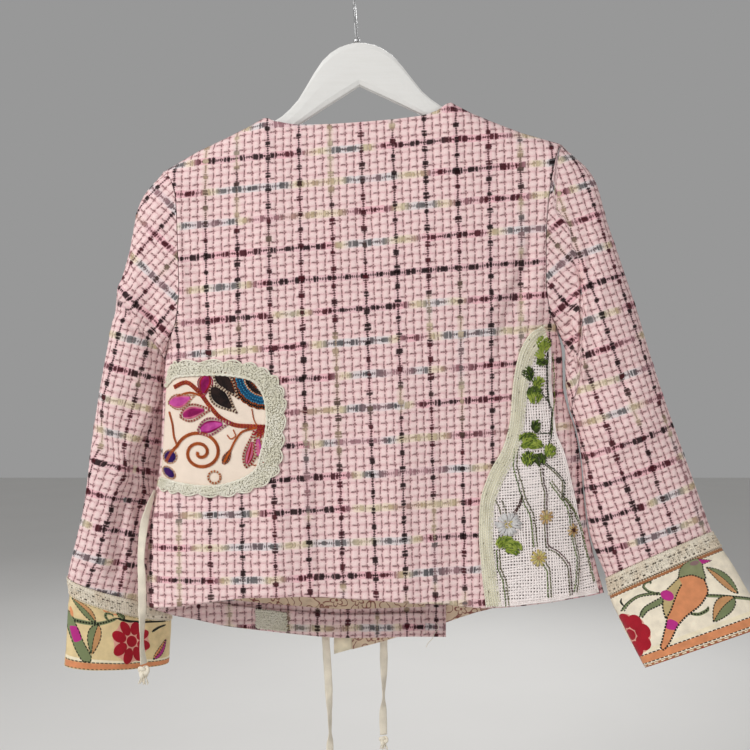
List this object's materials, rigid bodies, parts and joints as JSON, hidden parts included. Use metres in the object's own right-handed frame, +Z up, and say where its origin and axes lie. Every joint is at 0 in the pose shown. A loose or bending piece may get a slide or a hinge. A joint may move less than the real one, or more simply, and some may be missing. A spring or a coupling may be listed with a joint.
{
  "type": "patchwork jacket on a clothes hanger",
  "caption": "Cropped collarless wrap jacket of checked tweed with applied patches and cotton cuffs, hung on a wooden hanger with a wire hook.",
  "frame": {"origin": "the point inside the top of the hanger's hook that a rail or wall hook would touch", "axes": "+Z up, +Y towards the jacket's front, so that its back faces -Y, and +X to its wearer's right"},
  "size_m": [0.7675, 0.1144, 0.9008],
  "materials": {
    "tweed": "bulky pink tweed with dark slub checks",
    "printed_lining": "thin printed silk",
    "cream_cotton": "matte cotton",
    "cream_crochet": "cotton crochet",
    "ivory_ground": "embroidered cotton",
    "open_linen": "open-weave linen with embroidery",
    "ribbon_binding": "narrow ribbon lace",
    "dyed_crochet": "space-dyed crochet",
    "painted_wood": "satin white paint",
    "plated_steel": "bright plating"
  },
  "bodies": {
    "root": {"back": "tweed", "front_left": "tweed", "front_right": "tweed", "sleeve_left": "tweed", "sleeve_right": "tweed", "cuff_left": "cream_cotton", "cuff_right": "cream_cotton", "cuff_lace_left": "cream_crochet", "cuff_lace_right": "cream_crochet", "lining_left": "printed_lining", "lining_right": "printed_lining", "facing_left": "tweed", "crochet_scrap_on_facing": "dyed_crochet", "floral_patch": "ivory_ground", "floral_patch_border": "dyed_crochet", "side_patch": "open_linen", "side_patch_binding": "ribbon_binding", "tie_side": "cream_cotton", "tie_side_knot": "cream_cotton", "tie_right_front": "cream_cotton", "tie_right_front_knot": "cream_cotton", "tie_outer_front": "cream_cotton", "tie_outer_front_knot": "cream_cotton", "hanger_body": "painted_wood", "hanger_hook": "plated_steel", "hanger_ferrule": "plated_steel"}
  },
  "joints": []
}
